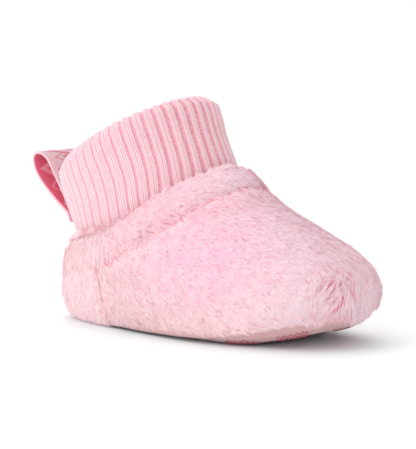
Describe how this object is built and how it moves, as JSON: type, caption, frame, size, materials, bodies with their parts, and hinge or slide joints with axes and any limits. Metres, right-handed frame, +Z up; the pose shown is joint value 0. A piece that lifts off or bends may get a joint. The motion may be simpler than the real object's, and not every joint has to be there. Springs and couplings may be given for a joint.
{
  "type": "bootie slipper",
  "caption": "Soft baby bootie slipper: plush upper, leaning rib-knit ankle cuff, thin rolled suede sole and a webbing pull loop at the heel.",
  "frame": {"origin": "on the floor under the heel's centre, in the plane of the sole's flat heel and forefoot", "axes": "+X towards the toe, +Y to the shoe's left, +Z up"},
  "size_m": [0.1429, 0.0634, 0.0798],
  "materials": {
    "suede": "matte napped suede, dusty pink",
    "lining": "soft brushed knit, pale pink",
    "plush": "short directional plush fleece, pale pink",
    "rib_knit": "matte rib knit, pale pink with deeper grooves",
    "webbing": "woven jacquard webbing, rose and pale pink"
  },
  "bodies": {
    "root": {"outsole": "suede", "insole": "lining", "upper": "plush", "cuff": "rib_knit", "pull_loop": "webbing"}
  },
  "joints": []
}
